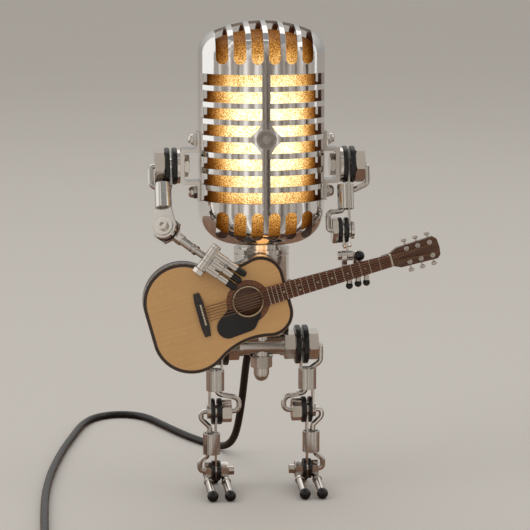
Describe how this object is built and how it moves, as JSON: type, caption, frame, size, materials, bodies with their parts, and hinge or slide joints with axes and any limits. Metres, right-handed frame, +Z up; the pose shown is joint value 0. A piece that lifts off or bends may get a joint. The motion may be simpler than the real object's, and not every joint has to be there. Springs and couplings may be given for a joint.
{
  "type": "desk lamp",
  "caption": "Desk lamp shaped as a small robot: slotted chrome microphone head lit from inside, hinged tube limbs with nuts and rubber rings, holding an acoustic guitar.",
  "frame": {"origin": "middle of the box round the lamp without its cord, on the surface it stands on", "axes": "+X to the viewer's right along the guitar's neck, -Y is the front, +Z up"},
  "size_m": [0.2379, 0.386, 0.2853],
  "materials": {
    "chrome": "polished",
    "brushed": "satin",
    "lit_mesh": "grainy mesh, lit from inside",
    "bulb_glass": "frosted, lit",
    "ceramic": "gloss",
    "circuit": "matte",
    "rubber": "satin",
    "cord_plastic": "semi gloss",
    "guitar_sides": "gloss lacquer",
    "guitar_top": "satin lacquer",
    "pickguard": "gloss",
    "rosewood": "satin",
    "bone": "satin",
    "fret_metal": "polished",
    "strings": "polished"
  },
  "bodies": {
    "head_and_torso": {"head_front_shell": "chrome", "head_rear_shell": "chrome", "head_badge": "brushed", "mesh_liner": "lit_mesh", "lamp_holder": "ceramic", "bulb": "bulb_glass", "neck_collar": "chrome", "torso_tube": "chrome", "dimmer_module": "circuit", "inner_wire": "cord_plastic", "hip_barrel": "chrome", "crotch_nut": "chrome", "crotch_cap": "chrome", "shoulder_brackets": "chrome", "bracket_cap_nuts": "chrome", "shoulder_bolts": "chrome", "shoulder_rubber_rings": "rubber", "hip_bolts": "chrome", "hip_rubber_rings": "rubber", "guitar_bracket": "brushed", "guitar_body": "guitar_sides", "guitar_top": "guitar_top", "guitar_pickguard": "pickguard", "guitar_bridge": "rosewood", "guitar_bone_parts": "bone", "guitar_neck": "guitar_sides", "guitar_fretboard": "rosewood", "guitar_frets": "fret_metal", "guitar_strings": "strings", "guitar_tuners": "chrome", "cord_gland": "cord_plastic", "power_cord": "cord_plastic", "cord_coil": "cord_plastic", "cord_tie": "cord_plastic", "cord_plug": "cord_plastic", "plug_shell": "chrome"},
    "left_arm_upper": {"left_upper_arm": "chrome"},
    "left_arm_fore": {"left_forearm": "chrome", "left_arm_bolts": "chrome", "left_elbow_ring": "rubber"},
    "left_palm": {"left_hand": "chrome", "left_fingertips": "rubber"},
    "left_leg_upper": {"left_thigh": "chrome"},
    "left_leg_lower": {"left_shin": "chrome", "left_leg_bolts": "chrome", "left_leg_rubber_rings": "rubber"},
    "left_foot_body": {"left_foot": "chrome", "left_toe_tips": "rubber"},
    "right_arm_upper": {"right_upper_arm": "chrome"},
    "right_arm_fore": {"right_forearm": "chrome", "right_arm_bolts": "chrome", "right_elbow_rings": "rubber"},
    "right_palm": {"right_hand": "chrome", "right_fingertips": "rubber"},
    "right_leg_upper": {"right_thigh": "chrome"},
    "right_leg_lower": {"right_shin": "chrome", "right_leg_bolts": "chrome", "right_leg_rubber_rings": "rubber"},
    "right_foot_body": {"right_foot": "chrome", "right_toe_tips": "rubber"}
  },
  "joints": [
    {"name": "left_shoulder", "type": "hinge", "parent": "head_and_torso", "child": "left_arm_upper", "pos_m": [-0.06986, 0.00054, 0.1993], "axis": [-1, 0, 0], "range_deg": [0, 100]},
    {"name": "left_elbow", "type": "hinge", "parent": "left_arm_upper", "child": "left_arm_fore", "pos_m": [-0.07476, -0.01881, 0.16578], "axis": [0.342, 0.8138, -0.4698], "range_deg": [-10, 15]},
    {"name": "left_wrist", "type": "hinge", "parent": "left_arm_fore", "child": "left_palm", "pos_m": [-0.05029, -0.03261, 0.14842], "axis": [-0.5807, 0, -0.8141], "range_deg": [0, 60]},
    {"name": "right_shoulder", "type": "hinge", "parent": "head_and_torso", "child": "right_arm_upper", "pos_m": [0.03624, 0.00054, 0.1993], "axis": [1, 0, 0], "range_deg": [0, 45]},
    {"name": "right_elbow", "type": "hinge", "parent": "right_arm_upper", "child": "right_arm_fore", "pos_m": [0.03224, -0.00971, 0.16105], "axis": [1, 0, 0], "range_deg": [0, 60]},
    {"name": "right_wrist", "type": "hinge", "parent": "right_arm_fore", "child": "right_palm", "pos_m": [0.03544, -0.01546, 0.1465], "axis": [1, 0, 0], "range_deg": [0, 60]},
    {"name": "left_hip", "type": "hinge", "parent": "head_and_torso", "child": "left_leg_upper", "pos_m": [-0.04376, 0.00054, 0.0902], "axis": [-1, 0, 0], "range_deg": [-45, 35]},
    {"name": "left_knee", "type": "hinge", "parent": "left_leg_upper", "child": "left_leg_lower", "pos_m": [-0.04376, 0.00054, 0.0498], "axis": [1, 0, 0], "range_deg": [0, 120]},
    {"name": "left_ankle", "type": "hinge", "parent": "left_leg_lower", "child": "left_foot_body", "pos_m": [-0.04376, 0.00054, 0.0128], "axis": [-1, 0, 0], "range_deg": [-35, 35]},
    {"name": "right_hip", "type": "hinge", "parent": "head_and_torso", "child": "right_leg_upper", "pos_m": [0.01224, 0.00054, 0.0902], "axis": [-1, 0, 0], "range_deg": [-45, 90]},
    {"name": "right_knee", "type": "hinge", "parent": "right_leg_upper", "child": "right_leg_lower", "pos_m": [0.01224, 0.00054, 0.0498], "axis": [1, 0, 0], "range_deg": [0, 120]},
    {"name": "right_ankle", "type": "hinge", "parent": "right_leg_lower", "child": "right_foot_body", "pos_m": [0.01224, 0.00054, 0.0128], "axis": [-1, 0, 0], "range_deg": [-35, 35]}
  ]
}
